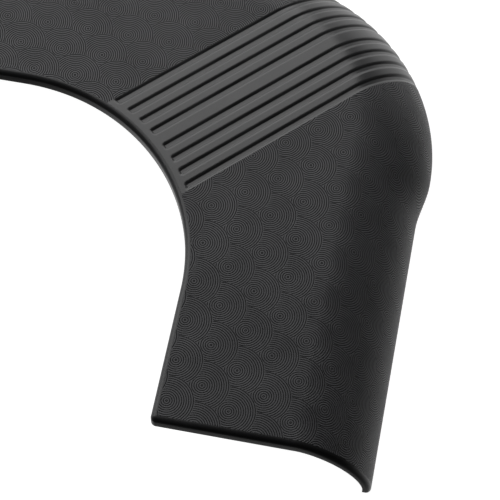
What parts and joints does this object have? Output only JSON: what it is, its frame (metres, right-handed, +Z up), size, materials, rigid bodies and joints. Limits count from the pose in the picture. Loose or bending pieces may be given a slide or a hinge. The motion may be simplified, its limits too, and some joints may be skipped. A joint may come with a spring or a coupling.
{
  "type": "corner ramp unit",
  "caption": "Black rubber corner unit of a road ramp: two flat-topped arms, an outer side rolled down to the ground and channels across the mitre.",
  "frame": {"origin": "middle of the unit's square footprint, on the ground", "axes": "+Z up; the right arm runs along -Y and the left arm along -X from the rounded corner at +X +Y"},
  "size_m": [0.5125, 0.513, 0.075],
  "materials": {
    "moulded_rubber": "satin black moulded rubber with a ring-disc relief on the arms",
    "bead_rubber": "smooth satin black rubber",
    "recycled_rubber": "matt granulated rubber",
    "zinc_plated_steel": "bright zinc plating"
  },
  "bodies": {
    "root": {"right_arm_cover": "moulded_rubber", "left_arm_cover": "moulded_rubber", "corner_cover": "moulded_rubber", "inner_edge_bead": "bead_rubber", "right_end_bead": "bead_rubber", "left_end_bead": "bead_rubber", "right_splice_plate": "zinc_plated_steel", "right_splice_stud_1": "zinc_plated_steel", "right_splice_washer_1": "zinc_plated_steel", "right_splice_nut_1": "zinc_plated_steel", "right_splice_stud_2": "zinc_plated_steel", "right_splice_washer_2": "zinc_plated_steel", "right_splice_nut_2": "zinc_plated_steel", "right_splice_stud_3": "zinc_plated_steel", "right_splice_washer_3": "zinc_plated_steel", "right_splice_nut_3": "zinc_plated_steel", "right_splice_stud_4": "zinc_plated_steel", "right_splice_washer_4": "zinc_plated_steel", "right_splice_nut_4": "zinc_plated_steel", "left_splice_plate": "zinc_plated_steel", "left_splice_stud_1": "zinc_plated_steel", "left_splice_washer_1": "zinc_plated_steel", "left_splice_nut_1": "zinc_plated_steel", "left_splice_stud_2": "zinc_plated_steel", "left_splice_washer_2": "zinc_plated_steel", "left_splice_nut_2": "zinc_plated_steel", "left_splice_stud_3": "zinc_plated_steel", "left_splice_washer_3": "zinc_plated_steel", "left_splice_nut_3": "zinc_plated_steel", "left_splice_stud_4": "zinc_plated_steel", "left_splice_washer_4": "zinc_plated_steel", "left_splice_nut_4": "zinc_plated_steel", "support_post_1": "recycled_rubber", "support_post_2": "recycled_rubber", "support_post_3": "recycled_rubber", "support_post_4": "recycled_rubber", "support_post_5": "recycled_rubber", "support_post_6": "recycled_rubber"}
  },
  "joints": []
}
